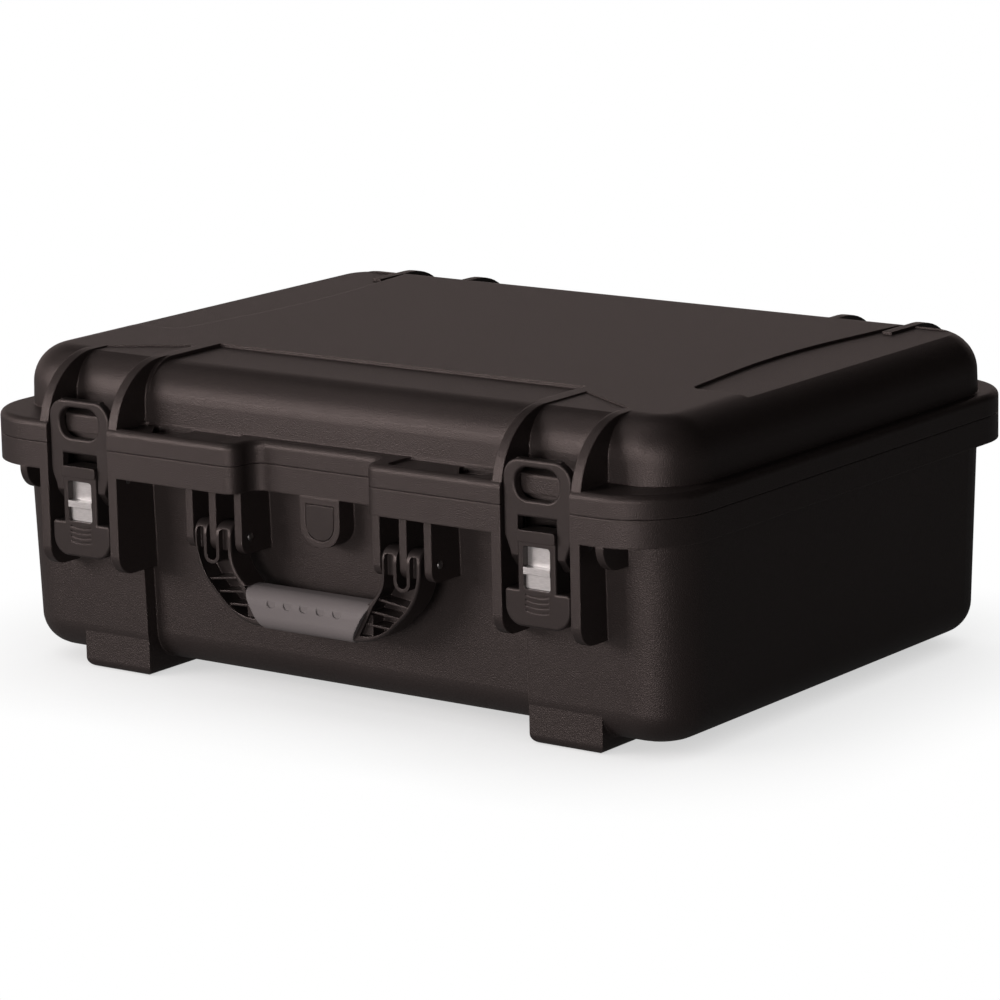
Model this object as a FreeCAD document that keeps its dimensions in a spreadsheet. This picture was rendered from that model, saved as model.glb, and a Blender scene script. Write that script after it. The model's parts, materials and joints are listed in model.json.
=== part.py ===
import FreeCAD, Part
import math
import os
import re
import Sketcher
from FreeCAD import Vector

# Hard carrying case: a moulded tub and lid with a seal, two draw latches, a folding handle and a
# pressure valve. Millimetres, +Z up, +X to the case's right, front towards -Y. The origin is on the
# floor, under the middle of the case with its hinges.
SIZES = {
    # Whole case
    "width": 503,
    "depth": 406,
    "height": 193,
    "parting": 143.3,
    "seam": 0.4,
    "wall": 3.5,
    # Tub
    "foot_height": 8,
    "foot_width": 50,
    "foot_length": 55,
    "foot_round": 6,
    "side_overhang": 8,
    "front_overhang": 24,
    "back_overhang": 20,
    "base_draft": 4,
    "base_corner": 34,
    "base_edge": 20,
    "mid_half": 140,
    "mid_recess": 9,
    "mid_reach": 60,
    # Rim, shared by tub and lid
    "rim_corner": 45,
    "base_rim": 16,
    "finger_half": 47,
    "finger_depth": 20,
    "finger_round": 9,
    # Lid
    "lid_front_overhang": 28,
    "lid_back_overhang": 18,
    "lid_draft": 1.5,
    "lid_edge": 23.5,
    "lid_room_edge": 16.5,
    "shelf_height": 13,
    "shelf_soft": 4,
    "well_inner": 60,
    "well_drop": 1.4,
    "bead_width": 5,
    "ledge_height": 12,
    "band_drop": 2,
    "band_half": 134,
    "band_back": 97,
    "lens_depth": 1.5,
    "lens_inset": 63,
    "lens_bow": 14,
    "lens_round": 8,
    "lens_arc": 500,
    "lens_front": 122,
    "lens_back": 38,
    # Seal
    "seal_side": 6,
    "seal_front": 27.5,
    "seal_back": 14.8,
    "seal_corner": 38,
    "groove_width": 6,
    "groove_depth": 5.6,
    "tongue_width": 3,
    "tongue_height": 2.6,
    "seal_gap": 0.3,
    "seal_side_gap": 0.2,
    # Hinges
    "hinge_radius": 6,
    "hinge_gap": 1.2,
    "hinge_pin_radius": 2.5,
    "hinge_side_gap": 0.3,
    "hinge_bend": 0.96,
    "web_out": 4.8,
    "web_drop": 3.6,
    # Latches
    "latch_x": 166.5,
    "bay_half": 23.5,
    "rib_thick": 6.3,
    "rib_bottom": 68,
    "rib_round": 12,
    "gusset_reach": 40.5,
    "gusset_thick": 5,
    "gusset_drop": 15,
    "gusset_round": 14,
    "lid_bay_depth": 12,
    "crest_back": 83,
    "crest_foot_in": 1.3,
    "crest_top_in": 2.2,
    "crest_round": 44,
    "crest_pad_drop": 0.8,
    "crest_pad_near": 58,
    "crest_pad_far": 85,
    "lever_axis_in": 11,
    "lever_axis_z": 124,
    "lever_pin_radius": 2,
    "lever_inset": 1,
    "lever_thick": 12.5,
    "column_half": 13,
    "column_top": 131,
    "cap_tall": 6.5,
    "foot_half": 22,
    "lever_shoulder": 97,
    "lever_bottom": 76,
    "lever_round": 11,
    "lever_soft": 2,
    "lip_soft": 1.4,
    "link_axis_in": 14,
    "link_axis_z": 112,
    "link_pin_radius": 1.6,
    "link_inset": 2.5,
    "link_thick": 5,
    "link_half": 23,
    "link_top": 170.5,
    "link_round": 11,
    "link_gap": 0.4,
    "leg_thick": 5,
    "leg_round": 4.6,
    "leg_bend": 0.96,
    "leg_knee": 116,
    "leg_neck": 5.7,
    "neck_low": 120,
    "neck_top": 127.5,
    "crotch": 138,
    "window_half": 15,
    "window_low": 147.5,
    "window_top": 166,
    "window_round": 8.5,
    "strike_low": 150,
    "strike_top": 161,
    "strike_depth": 2.8,
    "nose_depth": 1.3,
    "lock_half": 9.2,
    "lock_low": 97.5,
    "lock_top": 122,
    "lock_depth": 6,
    "lock_plate": 1.2,
    "slider_tall": 12.4,
    "slider_thick": 2.6,
    "thumb_tall": 4,
    "thumb_proud": 2.4,
    "slide_gap": 0.15,
    "grip_lines": 4,
    "grip_line_pitch": 3,
    "grip_line_tall": 1.2,
    "grip_line_half": 8,
    "grip_line_sag": 1.6,
    "grip_line_bend": 30,
    "grip_line_deep": 0.8,
    # Handle
    "handle_axis_in": 15,
    "handle_axis_z": 100,
    "handle_pin_radius": 2.5,
    "bracket_inner": 48,
    "bracket_middle": 67,
    "bracket_outer": 84.5,
    "bracket_thick": 5,
    "bracket_front": 8,
    "bracket_low": 10,
    "bracket_round": 7,
    "arm_inner": 55,
    "arm_outer": 82.5,
    "arm_front": 10,
    "arm_thick": 18,
    "arm_top": 8.5,
    "arm_wall": 2,
    "arm_pocket": 13,
    "prong_pocket": 4,
    "fork_half": 3.7,
    "fork_bend": 0.96,
    "fork_low": 14.5,
    "handle_low": 50,
    "bar_tall": 20,
    "hand_half": 42,
    "hand_drop": 16,
    "hand_round": 20,
    "elbow_x": 50,
    "elbow_drop": 20,
    "elbow_round": 40,
    "pocket_round": 30,
    "cross_ribs": 3,
    "cross_rib": 1.2,
    "grip_top_half": 46,
    "grip_low_half": 32,
    "grip_tall": 25,
    "grip_over": 2,
    "grip_thick": 24,
    "grip_round": 10,
    "grip_gap": 0.1,
    "notches": 5,
    "notch_pitch": 12,
    "notch_half": 3,
    "notch_tall": 10,
    "notch_deep": 0.9,
    "notch_bend": 0.9,
    "core_tall": 12,
    "core_thick": 12,
    # Pressure valve
    "boss_half": 14.4,
    "boss_proud": 13.5,
    "boss_drop": 15,
    "boss_bend": 0.94,
    "panel_margin": 4,
    "panel_thick": 2,
    "panel_gap": 0.5,
    "pad_proud": 2,
    "pad_radius": 12,
    "vent_radius": 4.5,
    "vent_passage": 2.5,
    "vent_flange": 7.5,
    "vent_flange_thick": 1.6,
    "membrane_thick": 1,
    "nut_half": 9,
    "nut_thick": 4,
    # Padlock eyes
    "eye_x": 112,
    "eye_in": 12,
    "eye_half": 5.5,
    "eye_half_deep": 4.2,
    "eye_round": 4,
    "scoop_half": 17,
    "scoop_deep": 5,
    "scoop_round": 3,
    # Fits
    "run_fit": 0.05,
}

doc = FreeCAD.newDocument("hard_case")
sheet = doc.addObject("Spreadsheet::Sheet", "Sizes")
for row, (alias, number) in enumerate(SIZES.items(), start=1):
    sheet.set("A%d" % row, alias)
    sheet.set("B%d" % row, str(number))
    sheet.setAlias("B%d" % row, alias)
doc.recompute()

# Places that several pieces share, as formulas of the sheet's values
FRONT = "(-depth/2)"
SIDE = "(width/2)"
HINGE_Y = "(depth/2 - hinge_radius)"
RIM_BACK = "(depth/2 - 2*hinge_radius - hinge_gap)"
BASE_SIDE = "(width/2 - side_overhang)"
BASE_FRONT = "(-depth/2 + front_overhang)"
BASE_BACK = f"({RIM_BACK} - back_overhang)"
MID_FRONT = f"({BASE_FRONT} + mid_recess)"
LID_FRONT = "(-depth/2 + lid_front_overhang)"
LID_BACK = f"({RIM_BACK} - lid_back_overhang)"
LID_LOW = "(parting + seam)"
RIM_LOW = "(parting - base_rim)"
LEVER_Y = "(-depth/2 + lever_axis_in)"
LINK_Y = "(-depth/2 + link_axis_in)"
HANDLE_Y = "(-depth/2 + handle_axis_in)"

BOSS_FRONT = f"({MID_FRONT} - boss_proud)"
VALVE_INNER = f"({MID_FRONT} + wall + pad_proud)"
VALVE_Z = f"({RIM_LOW} - boss_drop)"
RIB_STARTS = ("latch_x - bay_half - rib_thick", "latch_x + bay_half")
SIDES = (("left", "-"), ("right", ""))
BRACKETS = ("bracket_inner", "bracket_middle", "bracket_outer")

NEAR = 0.01
WORD = re.compile(r"[a-z][a-z_0-9]*")


def bound(text):
    """Write a formula of sheet names as FreeCAD reads it."""
    return WORD.sub(lambda word: "Sizes." + word[0] if word[0] in SIZES else word[0], str(text))


def value(text):
    """The number that a formula of sheet names gives."""
    return float(sheet.evalExpression(bound(text)))


def plane(body, role):
    return next(item for item in body.Origin.OriginFeatures if item.Role == role)


def tie(sketch, shape, point, corner):
    """Hold one point of a sketch at its two formulas."""
    for kind, text in zip(("DistanceX", "DistanceY"), corner):
        index = sketch.addConstraint(Sketcher.Constraint(kind, -1, 1, shape, point, value(text)))
        sketch.setExpression("Constraints[%d]" % index, bound(text))


def circle(sketch, centre, radius):
    spot = Vector(value(centre[0]), value(centre[1]), 0)
    shape = sketch.addGeometry(Part.Circle(spot, Vector(0, 0, 1), value(radius)), False)
    tie(sketch, shape, 3, centre)
    index = sketch.addConstraint(Sketcher.Constraint("Radius", shape, value(radius)))
    sketch.setExpression("Constraints[%d]" % index, bound(radius))


def outline(sketch, corners):
    """Draw a closed outline through corners (x, y) or rounded corners (x, y, radius)."""
    spots = [Vector(value(corner[0]), value(corner[1]), 0) for corner in corners]
    radii = [value(corner[2]) if len(corner) > 2 else 0 for corner in corners]
    count = len(corners)
    enters, leaves, arcs = [], [], []
    for place, spot in enumerate(spots):
        before = (spots[place - 1] - spot).normalize()
        after = (spots[(place + 1) % count] - spot).normalize()
        half = before.getAngle(after) / 2
        cut = radii[place] / math.tan(half)
        middle = (before + after).normalize() if radii[place] else Vector()
        reach = radii[place] / math.sin(half)
        enters.append(spot + before * cut)
        leaves.append(spot + after * cut)
        arcs.append((spot + middle * reach, spot + middle * (reach - radii[place])))
    lines = []
    for place in range(count):
        edge = Part.LineSegment(leaves[place], enters[(place + 1) % count])
        lines.append(sketch.addGeometry(edge, False))
    for place, corner in enumerate(corners):
        before, after = lines[place - 1], lines[place]
        if not radii[place]:
            sketch.addConstraint(Sketcher.Constraint("Coincident", before, 2, after, 1))
            tie(sketch, after, 1, corner)
            continue
        centre, crown = arcs[place]
        arc = sketch.addGeometry(Part.Arc(enters[place], crown, leaves[place]), False)
        turn = (enters[place] - centre).cross(leaves[place] - centre).z
        first, last = (1, 2) if turn > 0 else (2, 1)
        sketch.addConstraint(Sketcher.Constraint("Tangent", before, 2, arc, first))
        sketch.addConstraint(Sketcher.Constraint("Tangent", after, 1, arc, last))
        index = sketch.addConstraint(Sketcher.Constraint("Radius", arc, radii[place]))
        sketch.setExpression("Constraints[%d]" % index, bound(corner[2]))
        dot = sketch.addGeometry(Part.Point(spots[place]), True)
        sketch.addConstraint(Sketcher.Constraint("PointOnObject", dot, 1, before))
        sketch.addConstraint(Sketcher.Constraint("PointOnObject", dot, 1, after))
        tie(sketch, dot, 1, corner)


def draw(body, name, role, start, loops):
    """A sketch on one of the body's own planes, moved along its normal to start."""
    sketch = body.newObject("Sketcher::SketchObject", name + "_sketch")
    sketch.AttachmentSupport = [(plane(body, role), "")]
    sketch.MapMode = "FlatFace"
    sketch.setExpression(".AttachmentOffset.Base.z", bound(start))
    for loop in loops:
        if loop[0] == "circle":
            circle(sketch, loop[1], loop[2])
        else:
            outline(sketch, loop)
    return sketch


def worked(feature):
    """Recompute, and stop at a feature that failed."""
    doc.recompute()
    if "Invalid" in feature.State or "Error" in feature.State or not feature.Shape.isValid():
        raise RuntimeError("%s: %s" % (feature.Name, feature.getStatusString()))
    return feature


def raised(body, name, role, start, length, *loops):
    """A pad that grows from start along the plane's normal."""
    feature = body.newObject("PartDesign::Pad", name)
    feature.Profile = draw(body, name, role, start, loops)
    feature.setExpression("Length", bound(length))
    return worked(feature)


def sunk(body, name, role, start, length, *loops, along=False):
    """A pocket that goes from start against the plane's normal, or along it."""
    before = body.Shape.Volume
    feature = body.newObject("PartDesign::Pocket", name)
    feature.Profile = draw(body, name, role, start, loops)
    feature.setExpression("Length", bound(length))
    feature.Reversed = along
    worked(feature)
    if feature.Shape.Volume >= before:
        raise RuntimeError(name + " cuts nothing")
    return feature


def tapered(body, kind, name, start, length, draw_in, corners, flip):
    """A pad or pocket from a level outline whose walls draw in over its length."""
    feature = body.newObject(kind, name)
    feature.Profile = draw(body, name, "XY_Plane", start, [corners])
    feature.setExpression("Length", bound(length))
    feature.setExpression("TaperAngle", bound(f"-atan(({draw_in}) / ({length}))"))
    feature.Reversed = flip
    return worked(feature)


def mirrored(body, name, features):
    """Repeat features on the other side of the case's middle plane."""
    feature = body.newObject("PartDesign::Mirrored", name)
    feature.Originals = features
    feature.MirrorPlane = (plane(body, "YZ_Plane"), [""])
    body.Tip = feature
    return worked(feature)


def softened(body, name, radius, wanted):
    """Round the edges of the body that the test wants."""
    base = body.Tip
    edges = ["Edge%d" % place for place, edge in enumerate(base.Shape.Edges, start=1) if wanted(edge)]
    feature = body.newObject("PartDesign::Fillet", name)
    feature.Base = (base, edges)
    feature.setExpression("Radius", bound(radius))
    return worked(feature)


def hollowed(body, name, plug):
    """Cut another body's solid out of this one."""
    before = body.Shape.Volume
    feature = body.newObject("PartDesign::Boolean", name)
    feature.setObjects([plug])
    feature.Type = "Cut"
    worked(feature)
    if feature.Shape.Volume >= before:
        raise RuntimeError(name + " cuts nothing")
    return feature


def level_edge(text):
    """Test for edges that lie flat at one height."""
    level = value(text)
    return lambda edge: abs(edge.BoundBox.ZMin - level) < NEAR and abs(edge.BoundBox.ZMax - level) < NEAR


def front_edge(text):
    """Test for edges that lie upright at one distance from the front."""
    front = value(text)
    return lambda edge: abs(edge.BoundBox.YMin - front) < NEAR and abs(edge.BoundBox.YMax - front) < NEAR


def level_edge_along_x(text):
    """Test for flat edges at one height that run along X."""
    flat = level_edge(text)
    return lambda edge: flat(edge) and edge.BoundBox.YMax - edge.BoundBox.YMin < NEAR


def outside_lid(edge):
    """Test for edges that reach out past the lid's walls."""
    box = edge.BoundBox
    return (max(abs(box.XMin), abs(box.XMax)) > value(BASE_SIDE) + NEAR or box.YMin < value(LID_FRONT) - NEAR
            or box.YMax > value(LID_BACK) + NEAR)


def new_body(label):
    body = doc.addObject("PartDesign::Body", label)
    body.Label = label
    return body


def rounded_box(left, right, near, far, radius):
    return [(left, near, radius), (right, near, radius), (right, far, radius), (left, far, radius)]


def inset_box(side, near, far, inset, radius):
    """A rounded rectangle about the middle plane, drawn in by inset on each edge."""
    return rounded_box(f"-({side} - ({inset}))", f"{side} - ({inset})", f"{near} + ({inset})",
                       f"{far} - ({inset})", radius)


def rod(label, x_start, y, z, radius, length):
    """A plain pin along X."""
    pin = doc.addObject("Part::Cylinder", label)
    pin.Label = label
    pin.setExpression("Radius", bound(radius))
    pin.setExpression("Height", bound(length))
    pin.Placement = FreeCAD.Placement(Vector(), FreeCAD.Rotation(Vector(0, 1, 0), 90))
    for axis, text in zip("xyz", (x_start, y, z)):
        pin.setExpression("Placement.Base." + axis, bound(text))
    return pin


def rim_outline():
    """The rim's outline, with the finger room over the handle."""
    return [(f"-{SIDE}", FRONT, "rim_corner"),
            ("-finger_half", FRONT, "finger_round"),
            ("-finger_half", f"{FRONT} + finger_depth", "finger_round"),
            ("finger_half", f"{FRONT} + finger_depth", "finger_round"),
            ("finger_half", FRONT, "finger_round"),
            (SIDE, FRONT, "rim_corner"),
            (SIDE, RIM_BACK, "rim_corner"),
            (f"-{SIDE}", RIM_BACK, "rim_corner")]


def seal_ring(half):
    """The two loops of a ring along the seal's line, half wide to each side."""
    side = f"({SIDE} - seal_side)"
    near = f"({FRONT} + seal_front)"
    far = f"({RIM_BACK} - seal_back)"
    return (inset_box(side, near, far, f"-({half})", f"seal_corner + {half}"),
            inset_box(side, near, far, half, f"seal_corner - {half}"))


def eye():
    """A padlock eye's outline, on the right."""
    return rounded_box("eye_x - eye_half", "eye_x + eye_half", f"{FRONT} + eye_in - eye_half_deep",
                       f"{FRONT} + eye_in + eye_half_deep", "eye_round")


def bay(depth):
    """A latch bay's outline in the rim, on the right."""
    return [("latch_x - bay_half", f"{FRONT} - wall"), ("latch_x + bay_half", f"{FRONT} - wall"),
            ("latch_x + bay_half", f"{FRONT} + {depth}"), ("latch_x - bay_half", f"{FRONT} + {depth}")]


def d_outline(margin):
    """The valve boss's D shape, drawn in by margin, on the front."""
    half = f"(boss_half - ({margin}))"
    top = f"{RIM_LOW} - ({margin})"
    low = f"{RIM_LOW} - boss_drop - boss_half + ({margin})"
    return [(f"-{half}", top), (half, top),
            (half, low, f"{half}*boss_bend"), (f"-{half}", low, f"{half}*boss_bend")]


def base_shell():
    """The tub, with its rim, guard ribs, handle brackets, valve boss, feet and hinge barrels."""
    body = new_body("base_shell")
    tapered(body, "PartDesign::Pad", "tub", RIM_LOW, f"{RIM_LOW} - foot_height", "base_draft",
            inset_box(BASE_SIDE, BASE_FRONT, BASE_BACK, "0", "base_corner"), True)
    softened(body, "tub_edge", "base_edge", level_edge("foot_height"))
    # The front wall's middle lies further back than its corners
    sunk(body, "mid_front", "YZ_Plane", "mid_half", "2*mid_half",
         [(FRONT, RIM_LOW), (MID_FRONT, RIM_LOW), (f"{MID_FRONT} + base_draft", "foot_height", "base_edge"),
          (f"{MID_FRONT} + mid_reach", "foot_height"), (f"{MID_FRONT} + mid_reach", "0"), (FRONT, "0")])
    raised(body, "rim", "XY_Plane", RIM_LOW, "base_rim", rim_outline())
    # Right-hand features, repeated on the left
    pairs = [sunk(body, "bay", "XY_Plane", "parting", "base_rim", bay("front_overhang"))]
    for place, start in enumerate(RIB_STARTS):
        guard = [(FRONT, "parting"), (FRONT, "rib_bottom", "rib_round"),
                 (f"{MID_FRONT} + wall/2", "rib_bottom"), (f"{MID_FRONT} + wall/2", "parting")]
        pairs.append(raised(body, "guard_rib_%d" % place, "YZ_Plane", start, "rib_thick", guard))
    gusset = [(FRONT, RIM_LOW), (FRONT, f"{RIM_LOW} - gusset_drop", "gusset_round"),
              (f"{BASE_FRONT} + wall", f"{RIM_LOW} - gusset_drop"), (f"{BASE_FRONT} + wall", RIM_LOW)]
    pairs.append(raised(body, "rim_gusset", "YZ_Plane", "latch_x + gusset_reach", "gusset_thick", gusset))
    for place, start in enumerate(BRACKETS):
        plate = [(f"{HANDLE_Y} - bracket_front", RIM_LOW),
                 (f"{HANDLE_Y} - bracket_front", "handle_axis_z - bracket_low", "bracket_round"),
                 (f"{MID_FRONT} + wall", "handle_axis_z - bracket_low"), (f"{MID_FRONT} + wall", RIM_LOW)]
        pairs.append(raised(body, "bracket_%d" % place, "YZ_Plane", start, "bracket_thick", plate))
    pairs.append(sunk(body, "handle_bore", "YZ_Plane", "bracket_outer + bracket_thick",
                      "bracket_outer + bracket_thick - bracket_inner",
                      ("circle", (HANDLE_Y, "handle_axis_z"), "handle_pin_radius")))
    pairs.append(sunk(body, "lever_bore", "YZ_Plane", "latch_x + bay_half + rib_thick",
                      "2*bay_half + 2*rib_thick", ("circle", (LEVER_Y, "lever_axis_z"), "lever_pin_radius")))
    pairs.append(sunk(body, "eye", "XY_Plane", "parting", "base_rim", eye()))
    for name, wall_y, turn in (("front_foot", f"({BASE_FRONT} + base_draft)", "+"),
                               ("back_foot", f"({BASE_BACK} - base_draft)", "-")):
        foot = [(wall_y, "foot_height + base_edge"), (wall_y, "0"), (f"{wall_y} {turn} foot_length", "0"),
                (f"{wall_y} {turn} foot_length", "foot_height + wall/2"),
                (f"{wall_y} {turn} base_edge", "foot_height + base_edge")]
        pairs.append(raised(body, name, "YZ_Plane", "mid_half", "foot_width", foot))
    barrel_start = "latch_x - bay_half + hinge_side_gap"
    barrel_length = "2*bay_half - 2*hinge_side_gap"
    web = [(f"{RIM_BACK} - wall", RIM_LOW), (f"{HINGE_Y} + web_out", "parting - web_drop"),
           (HINGE_Y, "parting"), (f"{RIM_BACK} - wall", "parting")]
    pairs.append(raised(body, "hinge_web", "YZ_Plane", barrel_start, barrel_length, web))
    pairs.append(raised(body, "hinge_barrel", "YZ_Plane", barrel_start, barrel_length,
                        ("circle", (HINGE_Y, "parting"), "hinge_radius")))
    pairs.append(sunk(body, "hinge_bore", "YZ_Plane", "latch_x + bay_half", "2*bay_half",
                      ("circle", (HINGE_Y, "parting"), "hinge_pin_radius")))
    mirrored(body, "left_side", pairs)
    softened(body, "soles", "foot_round", level_edge("0"))
    raised(body, "valve_boss", "XZ_Plane", f"-({MID_FRONT} + wall)", "boss_proud + wall", d_outline("0"))
    inside = new_body("base_inside")
    tapered(inside, "PartDesign::Pad", "base_room", "parting", "parting - foot_height - wall", "base_draft",
            inset_box(BASE_SIDE, MID_FRONT, BASE_BACK, "wall", "base_corner - wall"), True)
    softened(inside, "base_room_edge", "base_edge - wall", level_edge("foot_height + wall"))
    hollowed(body, "base_hollow", inside)
    # The valve's seat: a flat pad inside, a recess for the panel outside, and the bores between
    raised(body, "valve_pad", "XZ_Plane", f"-({VALVE_INNER})", "wall + pad_proud - wall/2",
           ("circle", ("0", VALVE_Z), "pad_radius"))
    sunk(body, "panel_seat", "XZ_Plane", f"-({BOSS_FRONT})", "panel_thick", d_outline("panel_margin"))
    sunk(body, "vent_seat", "XZ_Plane", f"-({BOSS_FRONT} + panel_thick)", "vent_flange_thick",
         ("circle", ("0", VALVE_Z), "vent_flange + run_fit"))
    sunk(body, "vent_bore", "XZ_Plane", f"-({BOSS_FRONT})", f"{VALVE_INNER} - ({BOSS_FRONT})",
         ("circle", ("0", VALVE_Z), "vent_radius + run_fit"))
    raised(body, "tongue", "XY_Plane", "parting", "tongue_height", *seal_ring("tongue_width/2"))


def lid_shell():
    """The lid, with its stepped top, rim, seal groove, latch crests and hinge arms."""
    body = new_body("lid_shell")
    tapered(body, "PartDesign::Pad", "cover", LID_LOW, f"height - {LID_LOW}", "lid_draft",
            inset_box(BASE_SIDE, LID_FRONT, LID_BACK, "0", "base_corner"), False)
    softened(body, "cover_edge", "lid_edge", level_edge("height"))
    # The top's front band between the latches lies lower
    sunk(body, "front_band", "YZ_Plane", "band_half", "2*band_half",
         [(FRONT, "height + wall"), (f"{FRONT} + band_back", "height + wall"),
          (f"{FRONT} + band_back", "height - band_drop"),
          (f"{LID_FRONT} + lid_draft", "height - band_drop", "lid_edge"),
          (f"{LID_FRONT} - seam", f"{LID_LOW} + shelf_height"), (FRONT, f"{LID_LOW} + shelf_height")])
    raised(body, "shelf", "XY_Plane", LID_LOW, "shelf_height", rim_outline())
    shelf_top = level_edge(f"{LID_LOW} + shelf_height")
    softened(body, "shelf_lip", "shelf_soft", lambda edge: shelf_top(edge) and outside_lid(edge))
    # Right-hand features, repeated on the left
    lens_side = f"({SIDE} - lens_inset)"
    lens_middle = f"({FRONT} + lens_front + {RIM_BACK} - lens_back)/2"
    pairs = [sunk(body, "lens", "XY_Plane", "height", "lens_depth",
                  [(SIDE, f"{FRONT} + lens_front"), (lens_side, f"{FRONT} + lens_front", "lens_round"),
                   (f"{lens_side} - lens_bow", lens_middle, "lens_arc"),
                   (lens_side, f"{RIM_BACK} - lens_back", "lens_round"), (SIDE, f"{RIM_BACK} - lens_back")])]
    pairs.append(sunk(body, "shelf_well", "XY_Plane", f"{LID_LOW} + shelf_height", "well_drop",
                      rounded_box("well_inner", "latch_x - bay_half - rib_thick", f"{FRONT} + bead_width",
                                  LID_FRONT, "shelf_soft")))
    pairs.append(sunk(body, "bay", "XY_Plane", "height", f"height - {LID_LOW}", bay("lid_bay_depth")))
    for place, start in enumerate(RIB_STARTS):
        crest = [(f"{FRONT} + crest_foot_in", LID_LOW), (f"{FRONT} + crest_top_in", "height", "crest_round"),
                 (f"{FRONT} + crest_back", "height"), (f"{FRONT} + crest_back", "height - lid_edge"),
                 (f"{LID_FRONT} + wall", LID_LOW)]
        pairs.append(raised(body, "crest_%d" % place, "YZ_Plane", start, "rib_thick", crest))
    pairs.append(sunk(body, "crest_pad", "XY_Plane", "height", "crest_pad_drop",
                      [("latch_x - bay_half", FRONT), ("latch_x + bay_half", FRONT),
                       ("latch_x + bay_half", f"{FRONT} + crest_pad_near"),
                       ("latch_x - bay_half", f"{FRONT} + crest_pad_far")]))
    for place, start in enumerate(RIB_STARTS):
        arm = [(f"{LID_BACK} - wall", LID_LOW), (f"{LID_BACK} - 2*lid_edge", "height - lid_edge"),
               (f"{LID_BACK} - 2*lid_edge", "height"),
               (f"{HINGE_Y} + hinge_radius", "height", "crest_round"),
               (f"{HINGE_Y} + hinge_radius", "parting - hinge_radius", "hinge_radius*hinge_bend"),
               (f"{HINGE_Y} - hinge_radius", "parting - hinge_radius", "hinge_radius*hinge_bend"),
               (f"{HINGE_Y} - hinge_radius", LID_LOW)]
        pairs.append(raised(body, "hinge_arm_%d" % place, "YZ_Plane", start, "rib_thick", arm))
    pairs.append(sunk(body, "hinge_bore", "YZ_Plane", "latch_x + bay_half + rib_thick",
                      "2*bay_half + 2*rib_thick",
                      ("circle", (HINGE_Y, "parting"), "hinge_pin_radius + run_fit")))
    strike = [(f"{FRONT} + lid_bay_depth - strike_depth", "strike_low"),
              (f"{FRONT} + lid_bay_depth - strike_depth", "strike_top", "strike_depth/2"),
              (f"{LID_FRONT} + wall", "strike_top"), (f"{LID_FRONT} + wall", "strike_low")]
    pairs.append(raised(body, "strike", "YZ_Plane", "latch_x - bay_half", "2*bay_half", strike))
    pairs.append(sunk(body, "scoop", "XY_Plane", f"{LID_LOW} + shelf_height", "scoop_deep",
                      [("eye_x - scoop_half", LID_FRONT, "scoop_round"),
                       ("eye_x + scoop_half", LID_FRONT, "scoop_round"),
                       ("eye_x", f"{FRONT} + eye_in - 2*eye_half_deep", "scoop_round")]))
    pairs.append(sunk(body, "eye", "XY_Plane", "height", f"height - {LID_LOW}", eye()))
    mirrored(body, "left_side", pairs)
    # Hollow inside: a ledge round the seal, then the full width above it
    ledge = inset_box(BASE_SIDE, MID_FRONT, BASE_BACK, "wall", "base_corner - wall")
    sunk(body, "ledge", "XY_Plane", LID_LOW, "ledge_height", ledge, along=True)
    inside = new_body("lid_inside")
    tapered(inside, "PartDesign::Pad", "lid_room", f"{LID_LOW} + ledge_height",
            f"height - band_drop - wall - {LID_LOW} - ledge_height", "lid_draft",
            inset_box(BASE_SIDE, LID_FRONT, LID_BACK, "wall", "base_corner - wall"), False)
    softened(inside, "lid_room_edge", "lid_room_edge", level_edge("height - band_drop - wall"))
    hollowed(body, "lid_hollow", inside)
    sunk(body, "seal_groove", "XY_Plane", LID_LOW, "groove_depth", *seal_ring("groove_width/2"), along=True)


def lid_gasket():
    """The rubber seal at the top of the lid's groove."""
    body = new_body("lid_gasket")
    raised(body, "seal", "XY_Plane", "parting + tongue_height + seal_gap",
           f"{LID_LOW} + groove_depth - parting - tongue_height - seal_gap",
           *seal_ring("(groove_width/2 - seal_side_gap)"))


def hinge_pins():
    for side, sign in SIDES:
        rod("hinge_pin_" + side, f"{sign}latch_x - bay_half - rib_thick", HINGE_Y, "parting",
            "hinge_pin_radius", "2*bay_half + 2*rib_thick")


def valve():
    """The pressure valve in its boss: panel, vented stem, membrane and inner nut."""
    centre = ("0", VALVE_Z)
    panel = new_body("valve_cover")
    raised(panel, "panel", "XZ_Plane", f"-({BOSS_FRONT} + panel_thick)", "panel_thick",
           d_outline("panel_margin + panel_gap"))
    stem = new_body("valve_stem")
    head_back = f"({BOSS_FRONT} + panel_thick + vent_flange_thick)"
    raised(stem, "head", "XZ_Plane", f"-{head_back}", "vent_flange_thick",
           ("circle", centre, "vent_flange"))
    raised(stem, "shank", "XZ_Plane", f"-({VALVE_INNER} + nut_thick)",
           f"{VALVE_INNER} + nut_thick - ({BOSS_FRONT} + panel_thick)", ("circle", centre, "vent_radius"))
    sunk(stem, "passage", "XZ_Plane", f"-({BOSS_FRONT} + panel_thick)",
         f"{VALVE_INNER} + nut_thick - ({BOSS_FRONT} + panel_thick)", ("circle", centre, "vent_passage"))
    membrane = new_body("valve_membrane")
    raised(membrane, "membrane", "XZ_Plane", f"-({head_back} + membrane_thick)", "membrane_thick",
           ("circle", centre, "vent_passage"))
    nut = new_body("valve_nut")
    corner = "nut_half/cos(30)"
    hexagon = [(f"{corner}*cos({turn})", f"{VALVE_Z} + {corner}*sin({turn})") for turn in range(0, 360, 60)]
    raised(nut, "nut", "XZ_Plane", f"-({VALVE_INNER} + nut_thick)", "nut_thick", hexagon,
           ("circle", centre, "vent_radius + run_fit"))


def between(first, last, share):
    """A corner that lies a share of the way from one corner to another."""
    return tuple(f"({a}) + (({b}) - ({a}))*{share}" for a, b in zip(first, last))


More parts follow.
